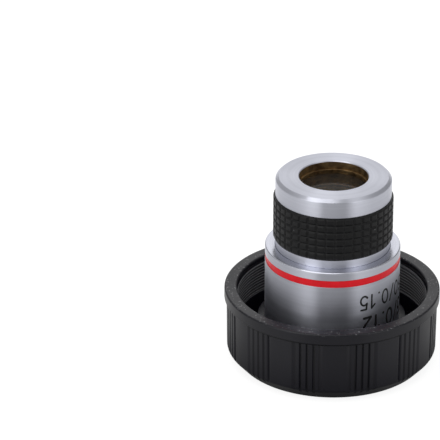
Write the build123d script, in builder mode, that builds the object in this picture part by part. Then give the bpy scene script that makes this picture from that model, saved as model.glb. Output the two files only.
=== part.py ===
from build123d import *
import os

os.makedirs("parts", exist_ok=True)

# A low power microscope objective that stands nose up, screwed into its storage cap.
# Lengths are in millimetres. The origin is the middle of the cap's underside, +Z is up.
# Radii are measured from the optical axis, which is the Z axis.

# Clearances between pieces that fit together
fit_gap = 0.05  # radial, between turned pieces that screw or slide together
mount_gap = 0.06  # radial, between the mount thread and the cap's boss
cement_gap = 0.03  # between the two glasses of a cemented pair

# Storage cap, outside
cap_height = 13.6
cap_floor = 2.0
wall_radius = 18.8  # at the top of the grip face
wall_draft = 0.1  # how much narrower the grip face is at its foot
foot_chamfer_width = 1.9
foot_chamfer_height = 2.1
foot_round = 0.4  # where the chamfer meets the underside
wall_foot_round = 0.9  # where the chamfer meets the grip face
rim_flange_reach = 0.4  # outwards from the grip face
rim_flange_height = 1.9
rim_flange_slope = 0.3  # height of the slanted underside
rim_round = 0.3

# Storage cap, inside
wall_thickness = 2.05  # from the grip face to the crests of the case thread
rim_lip_step = 0.2  # from the thread's crests out to the lip
rim_lip_height = 0.5
relief_depth = 0.35  # from the lip out to the bottom of the relief groove
relief_height = 0.7
boss_wall = 3.08
boss_chamfer = 0.4
boss_bore_floor = 1.6

# Grip grooves of the cap: three narrow ones between two wide sloped ones, in each group
groove_groups = 12
first_group_turn = 15.0  # degrees from +X
groove_turn = 3.7  # degrees from one narrow groove to the next
groove_width = 0.5
groove_depth = 0.55
side_groove_turn = 7.4  # degrees from the middle of the group
side_groove_width = 0.8
side_groove_floor = 0.25  # width of the level part, the rest slopes up
side_groove_depth = 0.22
groove_top_margin = 0.1  # from the grooves' upper ends to the slanted underside

# Mount thread, shoulder and core of the objective
mount_radius = 10.16
mount_length = 4.8
mount_end_gap = 1.3  # from the thread's lower end to the floor of the boss bore
mount_lead_chamfer = 0.4
mount_relief_depth = 0.56
mount_relief_width = 0.8
mount_wall = 2.36  # from the thread's crests to the core bore
shoulder_thickness = 1.6
shoulder_chamfer = 0.2
core_wall = 1.0
core_rise = 1.1  # height of the core's end above the foot of the grip ring

# Front sleeve, which shows as the neck between barrel and grip ring
shim_thickness = 0.3
sleeve_wall = 1.35
neck_height = 1.6
grip_seat_wall = 0.75
nose_thread_wall = 0.55
nose_thread_end_gap = 0.1

# Outer barrel with its colour band
barrel_wall = 1.75
barrel_length = 12.7
barrel_chamfer = 0.15
band_height = 1.3
band_from_top = 1.55
band_depth = 0.3
band_inset = 0.03  # how far the enamel lies below the barrel's face

# Knurled grip ring
grip_height = 8.1
grip_wall = 0.95  # from the seat to the crests
knurl_depth = 0.2
knurl_flank = 0.3  # half the width of a groove at the crests
knurl_rows = 6
knurl_margin = 0.1  # height of the smooth band at each end
knurl_columns = 40
knurl_column_lift = 0.03  # the upright grooves end this much above the ring grooves

# Nose ring
nose_height = 3.5
nose_skirt_wall = 0.8
nose_chamfer = 0.55
nose_bore_chamfer = 0.15
nose_wall = 1.5

# Front cell with its cemented pair
front_cell_wall = 1.3  # around the retaining ring
front_ring_height = 0.8
front_ring_wall = 1.6
front_ring_step = 0.25  # how far the retaining ring stands inside the nose bore
front_ring_ledge = 0.85  # how far the ring reaches past the glass, outwards
front_pair_height = 4.0
front_seat_ledge = 1.0
front_outer_sag = 0.25
front_joint_sag = 1.3
front_crown_edge = 1.9

# Rear cell with its cemented pair, and what holds the stack in the core
stop_thickness = 0.4
stop_hole = 4.0
spacer_length = 4.6
spacer_wall = 1.15
rear_cell_length = 5.5
rear_cell_wall = 1.15  # around the retaining ring
rear_top_wall = 0.8
rear_ring_height = 0.8
rear_ring_wall = 1.55
rear_ring_ledge = 0.65
rear_seat_ledge = 0.7
rear_outer_sag = 0.3
rear_joint_sag = 1.1
rear_crown_edge = 1.7
lock_ring_height = 1.1
lock_ring_wall = 1.75
baffle_thickness = 0.6
baffle_wall = 2.25
baffle_lift = 0.8  # above the lower end of the mount thread

# Spanner slots of the threaded rings
slot_width = 1.0
slot_depth = 0.35

# Radii of the cap, worked out from the sizes above
foot_radius = wall_radius - wall_draft - foot_chamfer_width
rim_flange_radius = wall_radius + rim_flange_reach
thread_crest = wall_radius - wall_thickness
rim_lip_radius = thread_crest + rim_lip_step
relief_radius = rim_lip_radius + relief_depth
boss_bore = mount_radius + mount_gap
boss_radius = boss_bore + boss_wall

# Radii of the objective, from the mount thread to the core and out again
core_bore = mount_radius - mount_wall
core_radius = core_bore + core_wall
inner_radius = core_bore - fit_gap
sleeve_bore = core_radius + fit_gap
sleeve_radius = sleeve_bore + sleeve_wall
barrel_radius = sleeve_radius + fit_gap + barrel_wall
grip_seat_radius = sleeve_bore + grip_seat_wall
grip_radius = grip_seat_radius + fit_gap + grip_wall
nose_thread_radius = sleeve_bore + nose_thread_wall
nose_radius = nose_thread_radius + fit_gap + nose_skirt_wall

# Radii of the two cells, from their walls inwards
front_ring_radius = core_radius - front_cell_wall - fit_gap
front_ring_bore = front_ring_radius - front_ring_wall
front_lens_radius = front_ring_radius - front_ring_ledge
nose_bore = front_ring_bore + front_ring_step
rear_ring_radius = inner_radius - rear_cell_wall - fit_gap
rear_ring_bore = rear_ring_radius - rear_ring_wall
rear_lens_radius = rear_ring_radius - rear_ring_ledge

# Heights, from the cap upwards
rim_flange_foot = cap_height - rim_flange_height
lip_foot = cap_height - rim_lip_height
relief_foot = lip_foot - relief_height
groove_foot = foot_chamfer_height / 2  # so low that the grooves run out through the chamfer
mount_foot = boss_bore_floor + mount_end_gap
boss_top = mount_foot + mount_length  # the objective's shoulder rests on it
shoulder_top = boss_top + shoulder_thickness
barrel_top = shoulder_top + barrel_length
band_top = barrel_top - band_from_top
band_foot = band_top - band_height
grip_foot = barrel_top + neck_height
grip_top = grip_foot + grip_height
knurl_foot = grip_foot + knurl_margin
knurl_row_pitch = (grip_height - 2 * knurl_margin) / knurl_rows
front_face = grip_top + nose_height
nose_inner_face = front_face - nose_wall
core_top = grip_foot + core_rise

# Heights of the optical stack, from the nose and from the end of the core downwards
front_ring_foot = nose_inner_face - front_ring_height
front_seat = front_ring_foot - front_pair_height
front_joint = front_ring_foot - front_crown_edge
stop_foot = core_top - stop_thickness
spacer_foot = stop_foot - spacer_length
rear_seat = spacer_foot - rear_top_wall
rear_cell_foot = spacer_foot - rear_cell_length
rear_ring_top = rear_cell_foot + rear_ring_height
rear_joint = rear_ring_top + rear_crown_edge
lock_ring_foot = rear_cell_foot - lock_ring_height


with BuildPart() as storage_cap:
    with BuildSketch(Plane.XZ):
        with BuildLine():
            Polyline(
                (0, 0),
                (foot_radius, 0),
                (wall_radius - wall_draft, foot_chamfer_height),
                (wall_radius, rim_flange_foot - rim_flange_slope),
                (rim_flange_radius, rim_flange_foot),
                (rim_flange_radius, cap_height),
                (rim_lip_radius, cap_height),
                (rim_lip_radius, lip_foot),
                (relief_radius, lip_foot),
                (relief_radius, relief_foot),
                (thread_crest, relief_foot),
                (thread_crest, cap_floor),
                (boss_radius, cap_floor),
                (boss_radius, boss_top),
                (boss_bore + boss_chamfer, boss_top),
                (boss_bore, boss_top - boss_chamfer),
                (boss_bore, boss_bore_floor),
                (0, boss_bore_floor),
                close=True,
            )
        make_face()
        fillet(vertices().sort_by_distance((foot_radius, 0))[0], foot_round)
        wall_foot = (wall_radius - wall_draft, foot_chamfer_height)
        fillet(vertices().sort_by_distance(wall_foot)[0], wall_foot_round)
    revolve(axis=Axis.Z)
    # The highest two circles are the edges of the rim.
    circles = storage_cap.edges().filter_by(GeomType.CIRCLE).group_by(Axis.Z)
    fillet(circles[-1], rim_round)
    with BuildSketch(Plane.XY.offset(groove_foot)):
        for step in (-1, 0, 1):
            start = first_group_turn + step * groove_turn
            with PolarLocations(wall_radius, groove_groups, start_angle=start):
                Rectangle(2 * groove_depth, groove_width)
        for side in (-1, 1):
            start = first_group_turn + side * side_groove_turn
            near = -side * side_groove_width / 2
            far = -near
            with PolarLocations(wall_radius, groove_groups, start_angle=start):
                Polygon(
                    (-side_groove_depth, near),
                    (-side_groove_depth, near + side * side_groove_floor),
                    (0, far),
                    (side_groove_depth, far),
                    (side_groove_depth, near),
                    align=None,
                )
    groove_length = rim_flange_foot - rim_flange_slope - groove_top_margin - groove_foot
    extrude(amount=groove_length, mode=Mode.SUBTRACT)
storage_cap.part.label = "storage_cap"
export_step(storage_cap.part, "parts/storage_cap.step")


with BuildPart() as mount_body:
    with BuildSketch(Plane.XZ):
        with BuildLine():
            Polyline(
                (core_bore, mount_foot),
                (mount_radius - mount_lead_chamfer, mount_foot),
                (mount_radius, mount_foot + mount_lead_chamfer),
                (mount_radius, boss_top - mount_relief_width),
                (mount_radius - mount_relief_depth, boss_top - mount_relief_width),
                (mount_radius - mount_relief_depth, boss_top),
                (barrel_radius - shoulder_chamfer, boss_top),
                (barrel_radius, boss_top + shoulder_chamfer),
                (barrel_radius, shoulder_top),
                (core_radius, shoulder_top),
                (core_radius, core_top),
                (core_bore, core_top),
                close=True,
            )
        make_face()
    revolve(axis=Axis.Z)
mount_body.part.label = "mount_body"
export_step(mount_body.part, "parts/mount_body.step")


with BuildPart() as parfocal_shim:
    with BuildSketch(Plane.XY.offset(shoulder_top)):
        Circle(sleeve_radius)
        Circle(sleeve_bore, mode=Mode.SUBTRACT)
    extrude(amount=shim_thickness)
parfocal_shim.part.label = "parfocal_shim"
export_step(parfocal_shim.part, "parts/parfocal_shim.step")


with BuildPart() as barrel_sleeve:
    with BuildSketch(Plane.XZ):
        with BuildLine():
            Polyline(
                (sleeve_radius + fit_gap, shoulder_top),
                (barrel_radius, shoulder_top),
                (barrel_radius, band_foot),
                (barrel_radius - band_depth, band_foot),
                (barrel_radius - band_depth, band_top),
                (barrel_radius, band_top),
                (barrel_radius, barrel_top - barrel_chamfer),
                (barrel_radius - barrel_chamfer, barrel_top),
                (sleeve_radius + fit_gap, barrel_top),
                close=True,
            )
        make_face()
    revolve(axis=Axis.Z)
barrel_sleeve.part.label = "barrel_sleeve"
export_step(barrel_sleeve.part, "parts/barrel_sleeve.step")


with BuildPart() as colour_band:
    with BuildSketch(Plane.XY.offset(band_foot)):
        Circle(barrel_radius - band_inset)
        Circle(barrel_radius - band_depth + fit_gap, mode=Mode.SUBTRACT)
    extrude(amount=band_height)
colour_band.part.label = "colour_band"
export_step(colour_band.part, "parts/colour_band.step")


with BuildPart() as front_sleeve:
    with BuildSketch(Plane.XZ):
        with BuildLine():
            Polyline(
                (sleeve_bore, shoulder_top + shim_thickness),
                (sleeve_radius, shoulder_top + shim_thickness),
                (sleeve_radius, grip_foot),
                (grip_seat_radius, grip_foot),
                (grip_seat_radius, grip_top),
                (nose_thread_radius, grip_top),
                (nose_thread_radius, nose_inner_face - nose_thread_end_gap),
                (sleeve_bore, nose_inner_face - nose_thread_end_gap),
                close=True,
            )
        make_face()
    revolve(axis=Axis.Z)
front_sleeve.part.label = "front_sleeve"
export_step(front_sleeve.part, "parts/front_sleeve.step")


# The ring grooves are in the turned profile, and the upright grooves cut it into pads.
knurl_root = grip_radius - knurl_depth
knurl_profile = [(grip_seat_radius + fit_gap, grip_foot), (knurl_root, grip_foot)]
for row in range(knurl_rows):
    row_foot = knurl_foot + row * knurl_row_pitch
    knurl_profile += [
        (knurl_root, row_foot),
        (grip_radius, row_foot + knurl_flank),
        (grip_radius, row_foot + knurl_row_pitch - knurl_flank),
    ]
knurl_profile += [
    (knurl_root, knurl_foot + knurl_rows * knurl_row_pitch),
    (knurl_root, grip_top),
    (grip_seat_radius + fit_gap, grip_top),
]
with BuildPart() as grip_ring:
    with BuildSketch(Plane.XZ):
        with BuildLine():
            Polyline(*knurl_profile, close=True)
        make_face()
    revolve(axis=Axis.Z)
    with BuildSketch(Plane.XY.offset(knurl_foot)):
        with PolarLocations(knurl_root + knurl_column_lift, knurl_columns):
            Polygon(
                (0, 0),
                (2 * knurl_depth, -2 * knurl_flank),
                (2 * knurl_depth, 2 * knurl_flank),
                align=None,
            )
    extrude(amount=knurl_rows * knurl_row_pitch, mode=Mode.SUBTRACT)
grip_ring.part.label = "grip_ring"
export_step(grip_ring.part, "parts/grip_ring.step")


with BuildPart() as nose_ring:
    with BuildSketch(Plane.XZ):
        with BuildLine():
            Polyline(
                (nose_thread_radius + fit_gap, grip_top),
                (nose_radius, grip_top),
                (nose_radius, front_face - nose_chamfer),
                (nose_radius - nose_chamfer, front_face),
                (nose_bore + nose_bore_chamfer, front_face),
                (nose_bore, front_face - nose_bore_chamfer),
                (nose_bore, nose_inner_face),
                (nose_thread_radius + fit_gap, nose_inner_face),
                close=True,
            )
        make_face()
    revolve(axis=Axis.Z)
nose_ring.part.label = "nose_ring"
export_step(nose_ring.part, "parts/nose_ring.step")


with BuildPart() as front_cell:
    with BuildSketch(Plane.XZ):
        with BuildLine():
            Polyline(
                (front_lens_radius - front_seat_ledge, core_top),
                (core_radius, core_top),
                (core_radius, nose_inner_face),
                (front_ring_radius + fit_gap, nose_inner_face),
                (front_ring_radius + fit_gap, front_ring_foot),
                (front_lens_radius + fit_gap, front_ring_foot),
                (front_lens_radius + fit_gap, front_seat),
                (front_lens_radius - front_seat_ledge, front_seat),
                close=True,
            )
        make_face()
    revolve(axis=Axis.Z)
front_cell.part.label = "front_cell"
export_step(front_cell.part, "parts/front_cell.step")


with BuildPart() as front_retaining_ring:
    with BuildSketch(Plane.XY.offset(front_ring_foot)):
        Circle(front_ring_radius)
        Circle(front_ring_bore, mode=Mode.SUBTRACT)
    extrude(amount=front_ring_height)
    with BuildSketch(Plane.XY.offset(nose_inner_face)):
        Rectangle(2 * front_ring_radius, slot_width)
    extrude(amount=-slot_depth, mode=Mode.SUBTRACT)
front_retaining_ring.part.label = "front_retaining_ring"
export_step(front_retaining_ring.part, "parts/front_retaining_ring.step")


with BuildPart() as front_crown_lens:
    with BuildSketch(Plane.XZ):
        with BuildLine():
            face = TangentArc(
                (0, front_ring_foot + front_outer_sag),
                (front_ring_bore, front_ring_foot),
                tangent=(1, 0),
            )
            joint = TangentArc(
                (0, front_joint - front_joint_sag),
                (front_lens_radius, front_joint),
                tangent=(1, 0),
            )
            Polyline(face @ 1, (front_lens_radius, front_ring_foot), joint @ 1)
            Line(face @ 0, joint @ 0)
        make_face()
    revolve(axis=Axis.Z)
front_crown_lens.part.label = "front_crown_lens"
export_step(front_crown_lens.part, "parts/front_crown_lens.step")


with BuildPart() as front_flint_lens:
    with BuildSketch(Plane.XZ):
        with BuildLine():
            joint = TangentArc(
                (0, front_joint - front_joint_sag - cement_gap),
                (front_lens_radius, front_joint - cement_gap),
                tangent=(1, 0),
            )
            Polyline(
                joint @ 1,
                (front_lens_radius, front_seat),
                (0, front_seat),
                joint @ 0,
            )
        make_face()
    revolve(axis=Axis.Z)
front_flint_lens.part.label = "front_flint_lens"
export_step(front_flint_lens.part, "parts/front_flint_lens.step")


with BuildPart() as aperture_stop:
    with BuildSketch(Plane.XY.offset(stop_foot)):
        Circle(inner_radius)
        Circle(stop_hole, mode=Mode.SUBTRACT)
    extrude(amount=stop_thickness)
aperture_stop.part.label = "aperture_stop"
export_step(aperture_stop.part, "parts/aperture_stop.step")


with BuildPart() as spacer_tube:
    with BuildSketch(Plane.XY.offset(spacer_foot)):
        Circle(inner_radius)
        Circle(inner_radius - spacer_wall, mode=Mode.SUBTRACT)
    extrude(amount=spacer_length)
spacer_tube.part.label = "spacer_tube"
export_step(spacer_tube.part, "parts/spacer_tube.step")


with BuildPart() as rear_cell:
    with BuildSketch(Plane.XZ):
        with BuildLine():
            Polyline(
                (rear_ring_radius + fit_gap, rear_cell_foot),
                (inner_radius, rear_cell_foot),
                (inner_radius, spacer_foot),
                (rear_lens_radius - rear_seat_ledge, spacer_foot),
                (rear_lens_radius - rear_seat_ledge, rear_seat),
                (rear_lens_radius + fit_gap, rear_seat),
                (rear_lens_radius + fit_gap, rear_ring_top),
                (rear_ring_radius + fit_gap, rear_ring_top),
                close=True,
            )
        make_face()
    revolve(axis=Axis.Z)
rear_cell.part.label = "rear_cell"
export_step(rear_cell.part, "parts/rear_cell.step")


with BuildPart() as rear_crown_lens:
    with BuildSketch(Plane.XZ):
        with BuildLine():
            face = TangentArc(
                (0, rear_ring_top - rear_outer_sag),
                (rear_ring_bore, rear_ring_top),
                tangent=(1, 0),
            )
            joint = TangentArc(
                (0, rear_joint + rear_joint_sag),
                (rear_lens_radius, rear_joint),
                tangent=(1, 0),
            )
            Polyline(face @ 1, (rear_lens_radius, rear_ring_top), joint @ 1)
            Line(face @ 0, joint @ 0)
        make_face()
    revolve(axis=Axis.Z)
rear_crown_lens.part.label = "rear_crown_lens"
export_step(rear_crown_lens.part, "parts/rear_crown_lens.step")


with BuildPart() as rear_flint_lens:
    with BuildSketch(Plane.XZ):
        with BuildLine():
            joint = TangentArc(
                (0, rear_joint + rear_joint_sag + cement_gap),
                (rear_lens_radius, rear_joint + cement_gap),
                tangent=(1, 0),
            )
            Polyline(
                joint @ 1,
                (rear_lens_radius, rear_seat),
                (0, rear_seat),
                joint @ 0,
            )
        make_face()
    revolve(axis=Axis.Z)
rear_flint_lens.part.label = "rear_flint_lens"
export_step(rear_flint_lens.part, "parts/rear_flint_lens.step")


with BuildPart() as rear_retaining_ring:
    with BuildSketch(Plane.XY.offset(rear_cell_foot)):
        Circle(rear_ring_radius)
        Circle(rear_ring_bore, mode=Mode.SUBTRACT)
    extrude(amount=rear_ring_height)
    with BuildSketch(Plane.XY.offset(rear_cell_foot)):
        Rectangle(2 * rear_ring_radius, slot_width)
    extrude(amount=slot_depth, mode=Mode.SUBTRACT)
rear_retaining_ring.part.label = "rear_retaining_ring"
export_step(rear_retaining_ring.part, "parts/rear_retaining_ring.step")


with BuildPart() as stack_lock_ring:
    with BuildSketch(Plane.XY.offset(lock_ring_foot)):
        Circle(inner_radius)
        Circle(inner_radius - lock_ring_wall, mode=Mode.SUBTRACT)
    extrude(amount=lock_ring_height)
    with BuildSketch(Plane.XY.offset(lock_ring_foot)):
        Rectangle(2 * inner_radius, slot_width)
    extrude(amount=slot_depth, mode=Mode.SUBTRACT)
stack_lock_ring.part.label = "stack_lock_ring"
export_step(stack_lock_ring.part, "parts/stack_lock_ring.step")


with BuildPart() as rear_baffle:
    with BuildSketch(Plane.XY.offset(mount_foot + baffle_lift)):
        Circle(inner_radius)
        Circle(inner_radius - baffle_wall, mode=Mode.SUBTRACT)
    extrude(amount=baffle_thickness)
rear_baffle.part.label = "rear_baffle"
export_step(rear_baffle.part, "parts/rear_baffle.step")
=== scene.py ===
import math
from functools import cache
from types import SimpleNamespace

import bpy
import numpy as np
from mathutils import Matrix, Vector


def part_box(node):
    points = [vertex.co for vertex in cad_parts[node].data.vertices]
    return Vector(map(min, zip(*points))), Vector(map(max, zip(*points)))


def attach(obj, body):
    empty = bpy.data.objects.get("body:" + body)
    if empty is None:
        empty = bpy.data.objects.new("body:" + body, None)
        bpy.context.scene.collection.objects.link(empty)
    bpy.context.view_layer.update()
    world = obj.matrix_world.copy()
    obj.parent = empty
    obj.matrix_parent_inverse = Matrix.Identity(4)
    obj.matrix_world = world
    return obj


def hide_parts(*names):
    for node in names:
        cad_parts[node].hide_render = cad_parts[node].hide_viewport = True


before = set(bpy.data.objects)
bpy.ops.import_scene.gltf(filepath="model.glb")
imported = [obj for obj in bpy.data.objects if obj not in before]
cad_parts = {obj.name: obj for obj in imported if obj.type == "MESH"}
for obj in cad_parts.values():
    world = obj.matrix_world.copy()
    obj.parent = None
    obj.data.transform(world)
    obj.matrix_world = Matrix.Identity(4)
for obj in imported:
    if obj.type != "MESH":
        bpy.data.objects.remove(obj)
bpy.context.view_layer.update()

bl_info = {
    "name": "Microscope objective in its storage cap",
    "version": (1, 0, 0),
    "blender": (4, 5, 0),
    "location": "3D View > Sidebar > Objective",
    "description": "Turns, knurls and engraves a low power objective and moulds its cap",
    "category": "Add Mesh",
}

MM = 0.001
TURN = 2 * math.pi
COLUMNS = 288  # round a turned piece: chords of 0.26 mm on the barrel

# In millimetres
HOLD = 0.04  # from a rounded edge to the loop that keeps the flat beside it flat
DEBURRED = 0.05  # rounding of an edge that is only deburred
FIT = 0.05  # clearance between pieces that fit into each other
GROOVE_WALL = 0.065  # along the cap's grip face, in which a narrow groove's wall falls
SIDE_WALL = 0.045  # the same for a side groove
GROOVE_END = 0.05  # up the grip face, in which a groove's end wall rises


# Sizes and colours

def length(name, millimetres, description):
    """A length that is written in millimetres and kept in metres."""
    return bpy.props.FloatProperty(
        name=name, description=description, default=millimetres * MM, unit="LENGTH", precision=5
    )


def angle(name, degrees, description):
    """An angle that is written in degrees and kept in radians."""
    return bpy.props.FloatProperty(
        name=name, description=description, default=math.radians(degrees), subtype="ANGLE"
    )


def linear(code):
    """Linear red, green and blue of an sRGB hex colour."""
    srgb = np.array([int(code[i:i + 2], 16) for i in (1, 3, 5)]) / 255
    return tuple(np.where(srgb <= 0.04045, srgb / 12.92, ((srgb + 0.055) / 1.055) ** 2.4).tolist())


def colour(name, code, description):
    """A colour that is written as an sRGB hex value and kept linear."""
    return bpy.props.FloatVectorProperty(
        name=name, description=description, default=linear(code), subtype="COLOR", size=3,
        min=0, max=1,
    )


def level(name, value, description):
    """A plain number from nought upwards."""
    return bpy.props.FloatProperty(name=name, description=description, default=value, min=0)


def span(node):
    """Outer radius, foot and top of a CAD node, in millimetres."""
    low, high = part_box(node)
    return high.x / MM, low.z / MM, high.z / MM


CAP_RADIUS, CAP_FOOT, CAP_TOP = span("storage_cap")
MOUNT_RADIUS, MOUNT_FOOT, CORE_TOP = span("mount_body")
BARREL_RADIUS, BARREL_FOOT, BARREL_TOP = span("barrel_sleeve")
BAND_RADIUS, BAND_FOOT, BAND_TOP = span("colour_band")
NECK_RADIUS, NECK_FOOT, NECK_TOP = span("front_sleeve")
GRIP_RADIUS, GRIP_FOOT, GRIP_TOP = span("grip_ring")
NOSE_RADIUS, NOSE_FOOT, NOSE_TOP = span("nose_ring")
FRONT_RING_RADIUS, FRONT_RING_FOOT, FRONT_RING_TOP = span("front_retaining_ring")
FRONT_GLASS_RADIUS, FRONT_GLASS_SEAT = span("front_flint_lens")[:2]
REAR_GLASS_RADIUS = span("rear_crown_lens")[0]
REAR_GLASS_TOP = span("rear_flint_lens")[2]


class StorageCapSizes(bpy.types.PropertyGroup):
    wall_radius: length("Grip face radius", 18.8, "Radius at the top of the grip face")
    wall_draft: length("Draft", 0.1, "How much narrower the grip face is at its foot")
    chamfer_width: length("Foot chamfer width", 1.9, "Width of the chamfer round the foot")
    chamfer_height: length("Foot chamfer height", 2.1, "Height of the chamfer round the foot")
    foot_round: length("Foot rounding", 0.4, "Rounding between chamfer and underside")
    wall_foot_round: length("Grip face rounding", 0.9, "Rounding between grip face and chamfer")
    flange_height: length("Rim height", 1.9, "Height of the upright face of the rim")
    flange_slope: length("Rim slope", 0.3, "Height of the slanted underside of the rim")
    rim_round: length("Rim rounding", 0.3, "Rounding of both edges of the rim")
    lip_radius: length("Lip radius", 16.95, "Inner radius of the rim")
    lip_height: length("Lip height", 0.5, "Height of the rim's inner face")
    relief_radius: length("Relief radius", 17.3, "Radius of the groove below the rim")
    relief_height: length("Relief height", 0.7, "Height of the groove below the rim")
    crest_radius: length("Thread crest radius", 16.75, "Inner radius of the case thread")
    thread_depth: length("Thread depth", 0.33, "Depth of the case thread")
    thread_pitch: length("Thread pitch", 0.57, "Rise of the case thread in one turn")
    thread_foot: length("Thread foot", 6.7, "Height at which the case thread begins")
    floor: length("Floor", 2.0, "Height of the floor of the trough")
    boss_radius: length("Boss radius", 13.3, "Outer radius of the boss in the middle")
    boss_top: length("Boss top", 7.7, "Height that the objective's shoulder rests at")
    boss_bore: length("Boss bore", 10.22, "Radius of the bore that takes the mount thread")
    boss_chamfer: length("Boss chamfer", 0.4, "Chamfer at the mouth of the boss")
    bore_floor: length("Bore floor", 1.6, "Height of the floor of the boss's bore")
    groups: bpy.props.IntProperty(
        name="Groove groups", description="Groups of grip grooves", default=12, min=3
    )
    first_group: angle("First group", 15, "Turn of the first group from +X")
    groove_turn: angle("Groove spacing", 3.7, "Turn from one narrow groove to the next")
    groove_width: length("Groove width", 0.5, "Width of the narrow grooves")
    groove_depth: length("Groove depth", 0.55, "Depth of the narrow grooves")
    side_turn: angle("Side groove", 7.4, "Turn from a group's middle to its side grooves")
    side_width: length("Side width", 0.8, "Width of the side grooves")
    side_level: length("Side level", 0.25, "Width of the level part of a side groove")
    side_depth: length("Side depth", 0.22, "Depth of the side grooves")
    groove_top: length("Groove top", 11.3, "Upper end of the grip grooves")


class ObjectiveSizes(bpy.types.PropertyGroup):
    thread_radius: length("Mount thread radius", 10.16, "Crest radius of the mount thread")
    thread_pitch: length("Mount thread pitch", 0.7056, "Rise in one turn: 36 turns per inch")
    thread_depth: length("Mount thread depth", 0.4, "Depth of the mount thread")
    relief_radius: length("Run-out radius", 9.6, "Radius of the groove below the shoulder")
    relief_height: length("Run-out height", 0.8, "Height of the groove below the shoulder")
    shoulder_foot: length("Shoulder", 7.7, "Height of the face that seats on a nosepiece")
    core_radius: length("Core radius", 8.8, "Outer radius of the core tube")
    core_bore: length("Core bore", 7.8, "Inner radius of the core tube")
    stop_bore: length("Stop", 4.0, "Radius of the aperture stop")
    spacer_bore: length("Spacer bore", 6.6, "Inner radius of the spacer tube")
    baffle_bore: length("Baffle bore", 5.5, "Inner radius of the baffle in the mount thread")
    stack_ring_bore: length("Lock ring bore", 6.0, "Inner radius of the ring that locks the core")
    barrel_bore: length("Barrel bore", 10.25, "Inner radius of the barrel")
    band_groove: length("Band groove", 11.7, "Radius of the groove under the colour band")
    sleeve_bore: length("Neck bore", 8.85, "Inner radius of the front sleeve")
    grip_seat: length("Grip seat", 9.6, "Radius of the seat under the grip ring")
    nose_thread: length("Nose thread", 9.4, "Radius that the nose ring is screwed on")
    knurl_depth: length("Knurl depth", 0.2, "Depth of the grooves between the knurl's pads")
    knurl_flank: length("Knurl flank", 0.3, "Half the width of a knurl groove")
    knurl_margin: length("Knurl margin", 0.1, "Smooth band at each end of the grip ring")
    knurl_columns: bpy.props.IntProperty(
        name="Knurl columns", description="Pads round the grip ring", default=40, min=8
    )
    knurl_rows: bpy.props.IntProperty(
        name="Knurl rows", description="Pads from foot to top", default=6, min=1
    )
    nose_chamfer: length("Nose chamfer", 0.55, "Chamfer round the front face")
    nose_bore: length("Nose bore", 6.1, "Radius of the front opening")
    nose_wall: length("Nose wall", 1.5, "Thickness of the front wall")
    front_ring_bore: length("Front ring bore", 5.85, "Clear radius of the front lens")
    front_ledge: length("Front ledge", 1.0, "Width of the ledge under the front glass")
    front_sag: length("Front bulge", 0.25, "Height of the front glass's outer face")
    rear_ring_bore: length("Rear ring bore", 5.0, "Clear radius of the rear lens")
    rear_ledge: length("Rear ledge", 0.7, "Width of the ledge over the rear glass")
    rear_sag: length("Rear bulge", 0.3, "Height of the rear glass's outer face")
    slot_width: length("Slot width", 1.0, "Width of the spanner slots")
    slot_depth: length("Slot depth", 0.35, "Depth of the spanner slots")


class Lettering(bpy.types.PropertyGroup):
    upper_line: bpy.props.StringProperty(
        name="Upper line", description="Numbers nearer the colour band", default="150/0.15"
    )
    lower_line: bpy.props.StringProperty(
        name="Lower line", description="Numbers nearer the shoulder", default="5/0.12"
    )
    upper_base: length("Upper base", 16.83, "Height that the upper line hangs from")
    upper_height: length("Upper height", 2.6, "Height of the upper line's numbers")
    upper_start: angle("Upper start", 22.6, "Turn from -Y to the end of the upper line")
    upper_stroke: length("Upper stroke", 0.45, "Width of the upper line's strokes")
    lower_base: length("Lower base", 12.5, "Height that the lower line hangs from")
    lower_height: length("Lower height", 2.95, "Height of the lower line's numbers")
    lower_start: angle("Lower start", 25.8, "Turn from -Y to the end of the lower line")
    lower_stroke: length("Lower stroke", 0.56, "Width of the lower line's strokes")
    proud: length("Paint height", 0.008, "How far the paint stands out of the engraving")


class Finishes(bpy.types.PropertyGroup):
    chrome: colour("Chrome", "#DFE1EC", "Satin chrome plate")
    chrome_worn: colour("Chrome, streaked", "#D2D4DF", "Satin chrome in its duller streaks")
    moulding: colour("Moulding", "#0B0A14", "Black moulded plastic")
    # Also the colour of the painted highlight on the cap's thread crests, and of the dust on the
    # grip ring.
    pale_marks_and_highlight: colour("Scuffs", "#8A8A8C", "Scuffed edges of the moulding")
    anodising: colour("Anodising", "#08080A", "Black anodised aluminium")
    enamel: colour("Enamel", "#DA0E1E", "Colour band")
    dark_brass: colour("Blackened brass", "#B0946A", "Blackened brass, thinly covered")
    black_brass: colour("Blackened brass, thick", "#6B553A", "Blackened brass, well covered")
    brass: colour("Brass", "#DDB768", "Bright brass")
    glass: colour("Glass", "#E9DFCF", "Coated optical glass")
    paint: colour("Paint", "#101012", "Paint in the engraving")


class Studio(bpy.types.PropertyGroup):
    focal_length: level("Focal length", 272.4, "In millimetres, on a sensor 36 mm wide")
    place: bpy.props.FloatVectorProperty(
        name="Camera place", description="Where the camera stands", subtype="TRANSLATION",
        unit="LENGTH", size=3, default=(-0.01997, -0.5291, 0.283), precision=5,
    )
    pitch: angle("Camera pitch", 25.86, "How far the camera looks down")
    floor_white: level("Floor white", 0.86, "Own brightness of the floor to the camera")
    sky: level("Sky", 0.85, "Brightness of the soft light from all round")
    key_power: level("Key light", 1.05, "Power of the large soft lamp, in watts")
    key_size: length("Key light size", 620, "Width and height of the large soft lamp")
    key_place: bpy.props.FloatVectorProperty(
        name="Key light place", description="Where the large soft lamp hangs",
        subtype="TRANSLATION", unit="LENGTH", size=3, default=(-0.224, -0.328, 0.696), precision=5,
    )
    floor_half: length("Floor", 3000, "From the middle of the floor to its edge")


GROUPS = {
    "cap_sizes": StorageCapSizes,
    "objective_sizes": ObjectiveSizes,
    "lettering": Lettering,
    "finishes": Finishes,
    "studio": Studio,
}


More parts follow.
